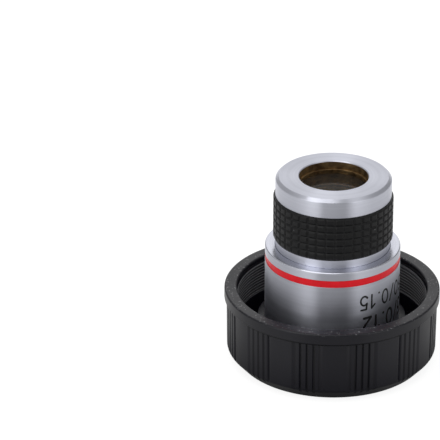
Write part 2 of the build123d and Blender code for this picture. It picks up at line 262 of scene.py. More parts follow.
def in_mm(group):
    """The lengths of a property group in millimetres; counts and words as they are."""
    known = {}
    for key in group.__annotations__:
        value = getattr(group, key)
        turned = group.bl_rna.properties[key].subtype == "ANGLE"
        known[key] = value / MM if isinstance(value, float) and not turned else value
    return SimpleNamespace(**known)


# Sections and surfaces, in millimetres

def section(corners, ring=True, fill=None):
    """Outline of a turned piece's wall, as rows of (radius, height).

    Corners are (radius, height, rounding, steps), anticlockwise with the radius to the right; one
    without a rounding is deburred in two steps. Each becomes an arc that touches both its sides:
    its middle lies one rounding inwards from the side before it, and the arc starts rounding *
    tan(half the turn) before the corner. A held point stands beside each end of the arc. Where
    the outline isn't a ring, its two ends stay sharp. fill gives more heights on the side after
    a corner.
    """
    corner = np.array([(*c, *(DEBURRED, 2)[len(c) - 2:]) for c in corners], float)
    point, rounding = corner[:, :2], corner[:, 2]
    if not ring:
        rounding[[0, -1]] = 0
    side = np.roll(point, -1, 0) - point
    size = np.linalg.norm(side, axis=1)
    after = side / size[:, None]
    before = np.roll(after, 1, 0)
    turn = np.arctan2(
        before[:, 0] * after[:, 1] - before[:, 1] * after[:, 0], (before * after).sum(1)
    )
    reach = rounding * np.tan(np.abs(turn) / 2)
    free = size - reach - np.roll(reach, -1)
    hold = np.minimum(HOLD, free / 3)
    rows = []
    for k in range(len(point)):
        if not ring and k in (0, len(point) - 1):
            rows.append(point[k:k + 1])
        else:
            inward = np.array([-before[k, 1], before[k, 0]]) * np.sign(turn[k]) * rounding[k]
            middle = point[k] - before[k] * reach[k] + inward
            steps = int(corner[k, 3]) if rounding[k] else 0
            swing = turn[k] * np.linspace(0, 1, steps + 1)
            cos, sin = np.cos(swing)[:, None], np.sin(swing)[:, None]
            arc = middle - inward * cos - np.array([-inward[1], inward[0]]) * sin
            rows.append(point[k] - before[k] * (reach[k] + hold[k - 1]))
            rows.append(arc)
            rows.append(point[k] + after[k] * (reach[k] + hold[k]))
        if fill and k in fill:
            share = (np.asarray(fill[k])[:, None] - point[k, 1]) / side[k, 1]
            rows.append(point[k] + side[k] * share)
    return np.vstack(rows)


def cap_of_sphere(radius, edge, apex, count=14):
    """Section of a lens face from its rim to the axis: height = apex -+ (R - sqrt(R^2 - r^2)),
    with R = (radius^2 + sag^2) / (2 sag)."""
    sag = apex - edge
    ball = (radius ** 2 + sag ** 2) / (2 * sag)
    r = radius * np.linspace(1, 0, count)
    return np.column_stack([r, apex - ball + np.sign(ball) * np.sqrt(ball ** 2 - r ** 2)])


def even_turns(columns=COLUMNS):
    """Angles of evenly spaced columns, in radians."""
    return np.arange(columns) * TURN / columns


def revolve(rows, turns):
    """Points (r cos a, r sin a, h) for each row (r, h) and angle a; turns may differ by row."""
    a = np.broadcast_to(turns, (len(rows), np.shape(turns)[-1]))
    r = rows[:, 0, None]
    return np.stack([r * np.cos(a), r * np.sin(a), np.broadcast_to(rows[:, 1, None], a.shape)], 2)


def pushed(points, outwards):
    """Points moved away from the axis: both x and y grow by (r + outwards) / r."""
    r = np.maximum(np.hypot(points[..., 0], points[..., 1]), 1e-9)
    grown = points.copy()
    grown[..., :2] *= ((r + outwards) / r)[..., None]
    return grown


def skin(points, ring):
    """Vertices and faces over a grid of points whose columns join up.

    On a ring the last row joins the first. Otherwise the first and last rows are single points,
    poles that close the surface with triangles. Faces run so that they point outwards.
    """
    rows, columns = points.shape[:2]
    number = np.arange(rows * columns).reshape(rows, columns)
    if not ring:
        number = np.maximum(number - columns + 1, 0)
        number[-1] = number[-1, 0]
    low = number if ring else number[:-1]
    high = np.roll(number, -1, 0) if ring else number[1:]
    quads = np.stack([low, np.roll(low, -1, 1), np.roll(high, -1, 1), high], 2)
    if ring:
        return points.reshape(-1, 3), quads.reshape(-1, 4).tolist()
    vertices = np.vstack([points[0, :1], points[1:-1].reshape(-1, 3), points[-1, :1]])
    faces = quads[0][:, [0, 2, 3]].tolist() + quads[1:-1].reshape(-1, 4).tolist()
    return vertices, faces + quads[-1][:, [0, 1, 2]].tolist()


def slotted(points, sizes, foot, top, upwards):
    """A ring with a slot across one face: between the slot's walls the height is squeezed towards
    the other face by (thickness - slot depth) / thickness."""
    inside = np.abs(points[..., 1]) < sizes.slot_width / 2 - 0.01
    share = 1 - sizes.slot_depth / (top - foot)
    base = foot if upwards else top
    cut = points.copy()
    cut[..., 2] = np.where(inside, base + (points[..., 2] - base) * share, points[..., 2])
    return cut


def slot_turns(rows, sizes):
    """Angles of a slotted ring's columns, by row: asin(y / r) beside the slots, so that their
    walls are parallel, and even steps elsewhere."""
    half = sizes.slot_width / 2
    right = np.array([half / 2, half - 0.03, half, half + 0.06])
    near = np.arcsin(np.concatenate([-right[::-1], right]) / rows[:, :1])
    away = np.radians(np.linspace(10, 170, 65))
    far = np.broadcast_to(away, (len(rows), len(away)))
    return np.hstack([near, far, math.pi + near, math.pi + far])


def thread(turns, heights, pitch, foot, top, fade):
    """Right handed thread from 0 at a crest to 1 at a root: half of 1 - cos of one turn per pitch
    of height and back one per turn round the axis, faded out over the two ends."""
    wave = 0.5 - 0.5 * np.cos(TURN * heights / pitch - turns)
    ends = np.clip(np.minimum(heights - foot, top - heights) / fade, 0, 1)
    return wave * ends


# Making and dressing pieces

def new_piece(name, vertices, faces):
    """A smooth shaded mesh in metres from vertices in millimetres; its object is at the origin."""
    mesh = bpy.data.meshes.new(name)
    mesh.from_pydata(np.asarray(vertices) * MM, [], faces)
    mesh.shade_smooth()
    mesh.validate()
    piece = bpy.data.objects.new(name, mesh)
    bpy.context.scene.collection.objects.link(piece)
    return piece


def dress(piece, body, slot, *nodes):
    """The piece rides on a body, takes the finish of a slot and stands for CAD nodes."""
    piece.data.materials.append(FINISH[slot]())
    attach(piece, body)
    if nodes:
        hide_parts(*nodes)
    return piece


def turned(name, corners, slot, *nodes):
    """A turned ring of the objective: the section of its corners, revolved."""
    piece = new_piece(name, *skin(revolve(section(corners), even_turns()), True))
    return dress(piece, "objective", slot, *nodes)


# Materials

def node(tree, kind, inputs=None, stops=None, **settings):
    """Adds a shader node with its settings, its inputs and the (position, brightness) stops of a
    ramp. An input is a value, another node's output, or a node, for its first output."""
    new = tree.nodes.new("ShaderNode" + kind)
    for key, value in settings.items():
        setattr(new, key, value)
    for key, value in (inputs or {}).items():
        if isinstance(value, bpy.types.Node):
            value = value.outputs[0]
        if isinstance(value, bpy.types.NodeSocket):
            tree.links.new(value, new.inputs[key])
        else:
            new.inputs[key].default_value = value
    if stops:
        elements = new.color_ramp.elements
        while len(elements) < len(stops):
            elements.new(1)
        for element, (position, value) in zip(elements, stops):
            element.position = position
            element.color = (value, value, value, 1)
    return new


def begun(name):
    """A node material without nodes, its tree, and the place on the piece it is on, in metres."""
    made = bpy.data.materials.new(name)
    made.use_nodes = True
    made.node_tree.nodes.clear()
    return made, made.node_tree, node(made.node_tree, "TexCoord").outputs["Object"]


def finished(made, surface):
    """The material with its surface on its output."""
    node(made.node_tree, "OutputMaterial", {"Surface": surface})
    return made


def marks(millimetres):
    """Scale of a noise whose marks are this many millimetres across."""
    return 1 / (millimetres * MM)


def lathe_place(tree, place):
    """Distance from the axis and height of a place, and both as (r, h, 0), in metres: marks that
    depend on these alone are circles round the axis, as a lathe leaves them."""
    flat = node(tree, "VectorMath", {0: place, 1: (1, 1, 0)}, operation="MULTIPLY")
    away = node(tree, "VectorMath", {0: flat}, operation="LENGTH").outputs["Value"]
    high = node(tree, "SeparateXYZ", {0: place}).outputs["Z"]
    return away, high, node(tree, "CombineXYZ", {0: away, 1: high})


def satin_chrome():
    """Chrome plate over turned brass, brushed while it spins: a clear mirror round the axis and a
    hazy one along it, with fine rings about 0.3 mm apart, drawn coarser than the real ones of
    0.05 mm so that they show."""
    made, tree, place = begun("satin_chrome_plate")
    looks = bpy.context.scene.finishes
    _, high, rings = lathe_place(tree, place)
    fine = node(tree, "TexNoise", {
        "Vector": rings, "Scale": marks(0.3), "Detail": 3, "Roughness": 0.6,
    })
    broad = node(tree, "TexNoise", {"Vector": rings, "Scale": marks(1.1), "Detail": 2})
    cloudy = node(tree, "TexNoise", {"Vector": place, "Scale": marks(4), "Detail": 3})
    streaks = node(tree, "MapRange", {0: broad, 1: 0.35, 2: 0.65})
    tone = node(
        tree, "Mix", {0: streaks, 6: (*looks.chrome, 1), 7: (*looks.chrome_worn, 1)},
        data_type="RGBA",
    )
    rough = node(tree, "MapRange", {0: cloudy, 1: 0.3, 2: 0.7, 3: 0.28, 4: 0.31})
    # The barrel's top face is left as the lathe cut it, a clearer mirror than the brushed faces.
    cut_face = node(tree, "Math", {0: high, 1: BARREL_TOP * MM, 2: 0.08 * MM}, operation="COMPARE")
    rough = node(tree, "MapRange", {0: cut_face, 3: rough, 4: 0.17})
    bump = node(tree, "Bump", {"Height": fine, "Strength": 1, "Distance": 0.004 * MM})
    along = node(tree, "Tangent", direction_type="RADIAL", axis="Z")
    shader = node(tree, "BsdfPrincipled", {
        "Base Color": tone.outputs[2], "Metallic": 1, "Roughness": rough, "Anisotropic": 1,
        "Anisotropic Rotation": 0.25, "Tangent": along, "Normal": bump,
    })
    return finished(made, shader)


def moulded_black():
    """Black ABS, injection moulded: a dark, slightly waxy skin with a spark eroded grain of about
    0.25 mm, pale scuffs where the rim is knocked and a painted highlight on the thread crests."""
    made, tree, place = begun("moulded_black_abs")
    looks = bpy.context.scene.finishes
    grain = node(tree, "TexNoise", {"Vector": place, "Scale": marks(0.25), "Detail": 2})
    cloudy = node(tree, "TexNoise", {"Vector": place, "Scale": marks(5), "Detail": 4})
    specks = node(tree, "TexNoise", {
        "Vector": place, "Scale": marks(0.5), "Detail": 3, "Roughness": 0.65,
    })
    away, high, _ = lathe_place(tree, place)
    near_rim = node(
        tree, "MapRange", {0: high, 1: (CAP_TOP - 0.35) * MM, 2: CAP_TOP * MM}, clamp=True,
    )
    # Scuffs are the highest peaks of the speckle, and only right at the top of the rim.
    peaks = node(tree, "MapRange", {0: specks, 1: 0.62, 2: 0.7}, clamp=True)
    scuffs = node(tree, "Math", {0: near_rim, 1: peaks}, operation="MULTIPLY")
    # Painted highlight: the crests of the case thread are made paler, as light would catch them.
    sizes = bpy.context.scene.cap_sizes
    thread_top = CAP_TOP * MM - sizes.lip_height - sizes.relief_height
    in_turns = node(tree, "Math", {
        0: high, 1: (thread_top + sizes.thread_foot) / 2, 2: (thread_top - sizes.thread_foot) / 2,
    }, operation="COMPARE")
    crest = node(tree, "Math", {0: away, 1: sizes.crest_radius, 2: 0.07 * MM}, operation="COMPARE")
    crest_highlight = node(tree, "Math", {0: in_turns, 1: crest}, operation="MULTIPLY")
    # Pale mix: real scuffs on the rim plus the painted highlight on the thread crests.
    scuffs_and_highlight = node(tree, "Math", {0: crest_highlight, 1: 0.6, 2: scuffs}, operation="MULTIPLY_ADD")
    tone = node(
        tree, "Mix", {0: scuffs_and_highlight, 6: (*looks.moulding, 1), 7: (*looks.pale_marks_and_highlight, 1)}, data_type="RGBA"
    )
    rough = node(tree, "MapRange", {0: cloudy, 1: 0.3, 2: 0.7, 3: 0.27, 4: 0.38})
    bump = node(tree, "Bump", {"Height": grain, "Strength": 1, "Distance": 0.006 * MM})
    shader = node(tree, "BsdfPrincipled", {
        "Base Color": tone.outputs[2], "Roughness": rough, "IOR": 1.46, "Normal": bump,
    })
    return finished(made, shader)


def black_anodised():
    """Aluminium, bead blasted and dyed black: matt, its clear oxide shines at a flat angle."""
    made, tree, place = begun("black_anodised_aluminium")
    looks = bpy.context.scene.finishes
    grain = node(tree, "TexNoise", {"Vector": place, "Scale": marks(0.12), "Detail": 2})
    dust = node(tree, "TexNoise", {"Vector": place, "Scale": marks(0.35), "Detail": 1})
    motes = node(tree, "MapRange", {0: dust, 1: 0.79, 2: 0.84}, clamp=True)
    tone = node(
        tree, "Mix", {0: motes, 6: (*looks.anodising, 1), 7: (*looks.pale_marks_and_highlight, 1)}, data_type="RGBA"
    )
    rough = node(tree, "MapRange", {0: grain, 1: 0.3, 2: 0.7, 3: 0.4, 4: 0.5})
    bump = node(tree, "Bump", {"Height": grain, "Strength": 1, "Distance": 0.004 * MM})
    shader = node(tree, "BsdfPrincipled", {
        "Base Color": tone.outputs[2], "Roughness": rough, "IOR": 1.38, "Normal": bump,
    })
    return finished(made, shader)


def red_enamel():
    """Stoved enamel run into a groove: a full red under a clear, slightly uneven gloss."""
    made, tree, place = begun("red_stoved_enamel")
    looks = bpy.context.scene.finishes
    flow = node(tree, "TexNoise", {"Vector": place, "Scale": marks(1.5), "Detail": 2})
    shade = node(tree, "MapRange", {0: flow, 1: 0.3, 2: 0.7, 3: 0.92, 4: 1.06})
    tone = node(
        tree, "Mix", {0: 1.0, 6: (*looks.enamel, 1), 7: shade},
        data_type="RGBA", blend_type="MULTIPLY",
    )
    bump = node(tree, "Bump", {"Height": flow, "Strength": 1, "Distance": 0.01 * MM})
    shader = node(tree, "BsdfPrincipled", {
        "Base Color": tone.outputs[2], "Roughness": 0.22, "IOR": 1.5, "Specular IOR Level": 0.25,
        "Normal": bump,
    })
    return finished(made, shader)


def brass(name, bright, dull, rough_low, rough_high):
    """Turned brass in two tones, cloudy over about 1.5 mm, with rings 0.25 mm apart from the lathe,
    drawn coarser than the real ones so that they show."""
    made, tree, place = begun(name)
    rings = lathe_place(tree, place)[2]
    fine = node(tree, "TexNoise", {"Vector": rings, "Scale": marks(0.25), "Detail": 3})
    cloudy = node(tree, "TexNoise", {"Vector": place, "Scale": marks(1.5), "Detail": 4})
    cover = node(tree, "MapRange", {0: cloudy, 1: 0.35, 2: 0.65}, clamp=True)
    tone = node(tree, "Mix", {0: cover, 6: (*bright, 1), 7: (*dull, 1)}, data_type="RGBA")
    rough = node(tree, "MapRange", {0: fine, 1: 0.3, 2: 0.7, 3: rough_low, 4: rough_high})
    bump = node(tree, "Bump", {"Height": fine, "Strength": 1, "Distance": 0.008 * MM})
    shader = node(tree, "BsdfPrincipled", {
        "Base Color": tone.outputs[2], "Metallic": 1, "Roughness": rough, "Normal": bump,
    })
    return finished(made, shader)


def blackened_brass():
    """Chemically blackened brass inside the objective: dark brown, with gold where it is thin."""
    looks = bpy.context.scene.finishes
    return brass("blackened_brass", looks.dark_brass, looks.black_brass, 0.4, 0.55)


def bright_brass():
    """Bare turned brass of the washer under the sleeve."""
    looks = bpy.context.scene.finishes
    return brass("bright_brass", looks.brass, looks.brass, 0.2, 0.3)


def optical_glass():
    """Crown and flint glass. A coating takes most of its shine, and a trace of dust dulls it."""
    made, tree, place = begun("coated_optical_glass")
    looks = bpy.context.scene.finishes
    film = node(tree, "TexNoise", {"Vector": place, "Scale": marks(2), "Detail": 5})
    rough = node(tree, "MapRange", {0: film, 1: 0.4, 2: 0.75, 3: 0.0, 4: 0.06}, clamp=True)
    shader = node(tree, "BsdfPrincipled", {
        "Base Color": (*looks.glass, 1), "Roughness": rough, "IOR": 1.12,
        "Specular IOR Level": 0.3, "Transmission Weight": 0.978,
    })
    return finished(made, shader)


def engraving_fill():
    """Black cellulose paint wiped into the engraving: matt and slightly rough."""
    made, tree, place = begun("black_engraving_paint")
    looks = bpy.context.scene.finishes
    grain = node(tree, "TexNoise", {"Vector": place, "Scale": marks(0.2), "Detail": 3})
    rough = node(tree, "MapRange", {0: grain, 1: 0.3, 2: 0.7, 3: 0.45, 4: 0.65})
    bump = node(tree, "Bump", {"Height": grain, "Strength": 1, "Distance": 0.004 * MM})
    shader = node(tree, "BsdfPrincipled", {
        "Base Color": (*looks.paint, 1), "Roughness": rough, "Normal": bump,
    })
    return finished(made, shader)


# Each slot's finish: a function of that name, which builds its material once
FINISH = {finish.__name__: cache(finish) for finish in (
    satin_chrome, moulded_black, black_anodised, red_enamel, blackened_brass, bright_brass,
    optical_glass, engraving_fill,
)}


# Storage cap

def cap_turns(s):
    """Angles of the cap's columns, in radians, and their distance along the grip face from their
    group's middle. Columns crowd within 0.1 mm of each edge of a groove, and one set of them is
    turned to every group."""
    half = s.groove_width / 2
    edges = half + np.array([-GROOVE_WALL - 0.03, -GROOVE_WALL, 0, 0.045])
    narrow = np.concatenate([-edges[::-1], edges])
    spacing = s.groove_turn * s.wall_radius
    near = s.side_turn * s.wall_radius - s.side_width / 2
    side = near + np.array([
        -0.055, 0, SIDE_WALL, SIDE_WALL + 0.035, s.side_level, (s.side_level + s.side_width) / 2,
        s.side_width, s.side_width + 0.07,
    ])
    boundary = math.pi / s.groups * s.wall_radius
    plain = np.linspace(side[-1], boundary, 6)[1:-1]
    between = (spacing + near) / 2 + 0.08
    right = np.concatenate([[spacing / 2], spacing + narrow, [between], side, plain])
    group = np.concatenate([-right[::-1], narrow, right, [boundary]]) / s.wall_radius
    starts = s.first_group + np.arange(s.groups) * TURN / s.groups
    return (starts[:, None] + group).ravel(), np.tile(group * s.wall_radius, s.groups)


def groove_depths(along, s):
    """Depth of the grip grooves by the distance along the face from the group's middle: straight
    walls on the narrow ones; on the side ones a wall, a level part and a slope outwards."""
    spacing = s.groove_turn * s.wall_radius
    off = np.abs(along[:, None] - np.array([-spacing, 0, spacing])).min(1)
    narrow = s.groove_depth * np.clip((s.groove_width / 2 - off) / GROOVE_WALL, 0, 1)
    past = np.abs(along) - s.side_turn * s.wall_radius + s.side_width / 2
    slope = (s.side_width - past) / (s.side_width - s.side_level)
    side = s.side_depth * np.clip(past / SIDE_WALL, 0, 1) * np.clip(slope, 0, 1)
    return np.maximum(narrow, side)


class OBJECTIVE_OT_storage_cap(bpy.types.Operator):
    """Moulds the storage cap: a turned section, grip grooves outside and a case thread inside"""
    bl_idname = "objective.storage_cap"
    bl_label = "Storage cap"

    def execute(self, context):
        s = in_mm(context.scene.cap_sizes)
        flange_foot = CAP_TOP - s.flange_height
        lip_foot = CAP_TOP - s.lip_height
        relief_foot = lip_foot - s.relief_height
        grip_top = flange_foot - s.flange_slope
        foot_radius = s.wall_radius - s.wall_draft - s.chamfer_width
        groove_ends = s.groove_top - np.array([2.5, 1, 0, -1]) * GROOVE_END
        # Where the chamfer reaches the floor of the narrow grooves
        run_out = (s.chamfer_width - s.groove_depth) / s.chamfer_width * s.chamfer_height
        run_out_rows = run_out + np.array([-0.12, -0.05, 0, 0.05, 0.12, 0.22])
        turns_of_thread = (relief_foot - s.thread_foot) / s.thread_pitch
        thread_rows = np.linspace(relief_foot - 0.06, s.thread_foot, int(6 * turns_of_thread) + 1)
        rows = section([
            (0, CAP_FOOT),
            (foot_radius, CAP_FOOT, s.foot_round, 4),
            (s.wall_radius - s.wall_draft, s.chamfer_height, s.wall_foot_round, 6),
            (s.wall_radius, grip_top, 0.12),
            (CAP_RADIUS, flange_foot, 0.12),
            (CAP_RADIUS, CAP_TOP, s.rim_round, 4),
            (s.lip_radius, CAP_TOP, s.rim_round, 4),
            (s.lip_radius, lip_foot, 0.06),
            (s.relief_radius, lip_foot, 0.06),
            (s.relief_radius, relief_foot, 0.06),
            (s.crest_radius, relief_foot),
            (s.crest_radius, s.floor, 0.3, 3),
            (s.boss_radius, s.floor, 0.3, 3),
            (s.boss_radius, s.boss_top, 0.12),
            (s.boss_bore + s.boss_chamfer, s.boss_top),
            (s.boss_bore, s.boss_top - s.boss_chamfer),
            (s.boss_bore, s.bore_floor, 0.15),
            (0, s.bore_floor),
        ], ring=False, fill={1: run_out_rows, 2: groove_ends, 10: thread_rows})
        turns, along = cap_turns(s)
        radius, height = rows[:, 0, None], rows[:, 1, None]
        # The grip face leans by its draft. The grooves are cut to a depth below it, so they run out
        # where the chamfer is deeper than their floor: radius = min(radius, face - depth).
        face = s.wall_radius - s.wall_draft * (grip_top - height) / (grip_top - s.chamfer_height)
        depth = groove_depths(along, s) * np.clip((s.groove_top - height) / GROOVE_END, 0, 1)
        outside = (radius > s.crest_radius + 0.02) & (height < grip_top - 0.01)
        cut = np.minimum(face - depth - radius, 0) * outside
        wave = thread(turns, height, s.thread_pitch, s.thread_foot, relief_foot - 0.05, 0.5)
        inside = np.isclose(radius, s.crest_radius, atol=1e-4)
        push = inside * s.thread_depth * wave + cut
        points = pushed(revolve(rows, turns), push)
        piece = new_piece("ribbed_storage_cap", *skin(points, False))
        dress(piece, "cap", "moulded_black", "storage_cap")
        return {"FINISHED"}


# Objective, outside

class OBJECTIVE_OT_mount_body(bpy.types.Operator):
    """Turns the mount body: thread, shoulder and core tube; the thread is a wave on the section"""
    bl_idname = "objective.mount_body"
    bl_label = "Mount body"

    def execute(self, context):
        s = in_mm(context.scene.objective_sizes)
        lead, shoulder_chamfer = 0.4, 0.2
        groove_foot = s.shoulder_foot - s.relief_height
        count = int(8 * (groove_foot - MOUNT_FOOT - lead) / s.thread_pitch)
        thread_rows = np.linspace(MOUNT_FOOT + lead + 0.06, groove_foot - 0.06, count)
        rows = section([
            (s.core_bore, MOUNT_FOOT),
            (s.thread_radius - lead, MOUNT_FOOT),
            (s.thread_radius, MOUNT_FOOT + lead),
            (s.thread_radius, groove_foot),
            (s.relief_radius, groove_foot),
            (s.relief_radius, s.shoulder_foot, 0.1),
            (MOUNT_RADIUS - shoulder_chamfer, s.shoulder_foot),
            (MOUNT_RADIUS, s.shoulder_foot + shoulder_chamfer),
            (MOUNT_RADIUS, BARREL_FOOT, 0.04),
            (s.core_radius, BARREL_FOOT),
            (s.core_radius, CORE_TOP, 0.1),
            (s.core_bore, CORE_TOP, 0.1),
        ], fill={2: thread_rows})
        turns = even_turns()
        height = rows[:, 1, None]
        wave = thread(turns, height, s.thread_pitch, MOUNT_FOOT + 0.1, groove_foot - 0.05, 0.45)
        on_thread = rows[:, 0, None] > s.relief_radius + 0.05
        below = height < groove_foot
        points = pushed(revolve(rows, turns), -s.thread_depth * wave * on_thread * below)
        piece = new_piece("threaded_mount_body", *skin(points, True))
        dress(piece, "objective", "satin_chrome", "mount_body")
        turned("brass_parfocal_shim", [
            (s.sleeve_bore, BARREL_FOOT, 0.03), (NECK_RADIUS, BARREL_FOOT, 0.03),
            (NECK_RADIUS, NECK_FOOT, 0.03), (s.sleeve_bore, NECK_FOOT, 0.03),
        ], "bright_brass", "parfocal_shim")
        return {"FINISHED"}


class OBJECTIVE_OT_barrel(bpy.types.Operator):
    """Turns the barrel with the groove for its colour band, and runs the enamel into it"""
    bl_idname = "objective.barrel"
    bl_label = "Barrel and colour band"

    def execute(self, context):
        s = in_mm(context.scene.objective_sizes)
        chamfer = 0.15
        turned("barrel", [
            (s.barrel_bore, BARREL_FOOT),
            (BARREL_RADIUS, BARREL_FOOT, 0.04),
            (BARREL_RADIUS, BAND_FOOT, 0.04),
            (s.band_groove, BAND_FOOT, 0.03),
            (s.band_groove, BAND_TOP, 0.03),
            (BARREL_RADIUS, BAND_TOP, 0.04),
            (BARREL_RADIUS, BARREL_TOP - chamfer),
            (BARREL_RADIUS - chamfer, BARREL_TOP),
            (s.barrel_bore, BARREL_TOP),
        ], "satin_chrome", "barrel_sleeve")
        crown = 0.02  # the bulge of the enamel
        turned("enamel_colour_band", [
            (s.band_groove + FIT, BAND_FOOT, 0.02),
            (BAND_RADIUS - crown, BAND_FOOT, 0.05, 3),
            (BAND_RADIUS, (BAND_FOOT + BAND_TOP) / 2, 2, 4),
            (BAND_RADIUS - crown, BAND_TOP, 0.05, 3),
            (s.band_groove + FIT, BAND_TOP, 0.02),
        ], "red_enamel", "colour_band")
        return {"FINISHED"}


class OBJECTIVE_OT_neck(bpy.types.Operator):
    """Turns the front sleeve, whose bare part is the neck between barrel and grip ring"""
    bl_idname = "objective.neck"
    bl_label = "Front sleeve"

    def execute(self, context):
        s = in_mm(context.scene.objective_sizes)
        turned("front_sleeve_neck", [
            (s.sleeve_bore, NECK_FOOT),
            (NECK_RADIUS, NECK_FOOT),
            (NECK_RADIUS, GRIP_FOOT, 0.04),
            (s.grip_seat, GRIP_FOOT, 0.03),
            (s.grip_seat, GRIP_TOP),
            (s.nose_thread, GRIP_TOP, 0.03),
            (s.nose_thread, NECK_TOP),
            (s.sleeve_bore, NECK_TOP),
        ], "satin_chrome", "front_sleeve")
        return {"FINISHED"}


def groove_share(distance, flank):
    """How deep a knurl groove is at a distance from its middle, from 1 there to 0 at its edge:
    1 - 0.7 u - 0.3 (3 u^2 - 2 u^3) with u = distance / flank, a slope with eased edges."""
    u = np.clip(distance / flank, 0, 1)
    return 1 - 0.7 * u - 0.3 * (3 * u ** 2 - 2 * u ** 3)


class OBJECTIVE_OT_grip_ring(bpy.types.Operator):
    """Knurls the grip ring: upright and ring grooves sunk into a cylinder leave a grid of pads"""
    bl_idname = "objective.grip_ring"
    bl_label = "Grip ring"

    def execute(self, context):
        s = in_mm(context.scene.objective_sizes)
        pitch = (GRIP_TOP - GRIP_FOOT - 2 * s.knurl_margin) / s.knurl_rows
        first = GRIP_FOOT + s.knurl_margin
        flank = s.knurl_flank
        beside = np.array([0, 0.2, 0.4, 0.6, 0.8, 1, 1.25]) * flank
        across = np.concatenate([beside, [pitch / 2], pitch - beside[:0:-1]])
        rows_up = (first + np.arange(s.knurl_rows)[:, None] * pitch + across).ravel()
        rows_up = np.append(rows_up, first + s.knurl_rows * pitch)
        bore = s.grip_seat + FIT
        root = GRIP_RADIUS - s.knurl_depth
        rows = section([
            (bore, GRIP_FOOT),
            (root, GRIP_FOOT, 0.04),
            (root, GRIP_TOP, 0.04),
            (bore, GRIP_TOP),
        ], fill={1: rows_up})
        width = TURN * GRIP_RADIUS / s.knurl_columns
        along = np.concatenate([beside, [width / 2], width - beside[:0:-1]])
        turns = (np.arange(s.knurl_columns)[:, None] * width + along).ravel() / GRIP_RADIUS
        along = np.tile(along, s.knurl_columns)
        upright = groove_share(np.minimum(along, width - along), flank)
        height = rows[:, 1, None]
        up = np.clip(height - first, 0, s.knurl_rows * pitch) % pitch
        level_groove = groove_share(np.minimum(up, pitch - up), flank)
        from_middle = np.abs(height - (GRIP_FOOT + GRIP_TOP) / 2)
        knurled = (rows[:, 0, None] > root - 0.001) & (from_middle < s.knurl_rows * pitch / 2)
        pads = s.knurl_depth * (1 - upright) * (1 - level_groove) * knurled
        points = pushed(revolve(rows, turns), pads)
        piece = new_piece("knurled_grip_ring", *skin(points, True))
        dress(piece, "objective", "black_anodised", "grip_ring")
        return {"FINISHED"}


class OBJECTIVE_OT_nose_ring(bpy.types.Operator):
    """Turns the nose ring; its bore keeps the blackened brass that the plating doesn't cover"""
    bl_idname = "objective.nose_ring"
    bl_label = "Nose ring"

    def execute(self, context):
        s = in_mm(context.scene.objective_sizes)
        skirt = s.nose_thread + FIT
        inner_face = NOSE_TOP - s.nose_wall
        edge = 0.15
        corners = [
            (skirt, NOSE_FOOT),
            (NOSE_RADIUS, NOSE_FOOT, 0.06),
            (NOSE_RADIUS, NOSE_TOP - s.nose_chamfer, 0.25, 4),
            (NOSE_RADIUS - s.nose_chamfer, NOSE_TOP, 0.25, 4),
            (s.nose_bore + edge, NOSE_TOP),
            (s.nose_bore, NOSE_TOP - edge),
            (s.nose_bore, inner_face, 0.03),
            (skirt, inner_face, 0.1),
        ]
        piece = turned("chamfered_nose_ring", corners, "satin_chrome", "nose_ring")
        piece.data.materials.append(FINISH["blackened_brass"]())
        rows = section(corners)
        in_bore = (rows[:, 0] < s.nose_bore + 0.03) & (rows[:, 1] < NOSE_TOP - edge)
        index = np.repeat(in_bore.astype(np.int32), COLUMNS)
        piece.data.polygons.foreach_set("material_index", index)
        return {"FINISHED"}


# Objective, inside

def slotted_ring(name, node_name, bore, s, upwards):
    """A threaded retaining ring with a spanner slot across its outer face."""
    radius, foot, top = span(node_name)
    rows = section([(bore, foot), (radius, foot), (radius, top), (bore, top)])
    turns = slot_turns(rows, s)
    points = slotted(revolve(rows, turns), s, foot, top, upwards)
    piece = new_piece(name, *skin(points, True))
    dress(piece, "objective", "blackened_brass", node_name)


def plain_ring(name, node_name, bore):
    """A turned ring with broken edges that fills its CAD node."""
    radius, foot, top = span(node_name)
    turned(name, [
        (bore, foot, 0.04), (radius, foot, 0.04), (radius, top, 0.04), (bore, top, 0.04),
    ], "blackened_brass", node_name)


class OBJECTIVE_OT_front_optics(bpy.types.Operator):
    """Turns the front cell and its retaining ring and grinds the front glass"""
    bl_idname = "objective.front_optics"
    bl_label = "Front cell and glass"

    def execute(self, context):
        s = in_mm(context.scene.objective_sizes)
        glass_bore = FRONT_GLASS_RADIUS + FIT
        ring_bore = FRONT_RING_RADIUS + FIT
        ledge = FRONT_GLASS_RADIUS - s.front_ledge
        turned("front_lens_cell", [
            (ledge, CORE_TOP), (s.core_radius, CORE_TOP),
            (s.core_radius, FRONT_RING_TOP), (ring_bore, FRONT_RING_TOP),
            (ring_bore, FRONT_RING_FOOT, 0.03), (glass_bore, FRONT_RING_FOOT, 0.03),
            (glass_bore, FRONT_GLASS_SEAT), (ledge, FRONT_GLASS_SEAT),
        ], "blackened_brass", "front_cell")
        slotted_ring("front_slotted_ring", "front_retaining_ring", s.front_ring_bore, s, True)
        rows = np.vstack([
            section([
                (0, FRONT_GLASS_SEAT), (FRONT_GLASS_RADIUS, FRONT_GLASS_SEAT, 0.1),
                (FRONT_GLASS_RADIUS, FRONT_RING_FOOT), (s.front_ring_bore, FRONT_RING_FOOT),
            ], ring=False)[:-1],
            cap_of_sphere(s.front_ring_bore, FRONT_RING_FOOT, FRONT_RING_FOOT + s.front_sag),
        ])
        glass = new_piece("front_glass", *skin(revolve(rows, even_turns(COLUMNS // 2)), False))
        dress(glass, "objective", "optical_glass", "front_crown_lens", "front_flint_lens")
        return {"FINISHED"}


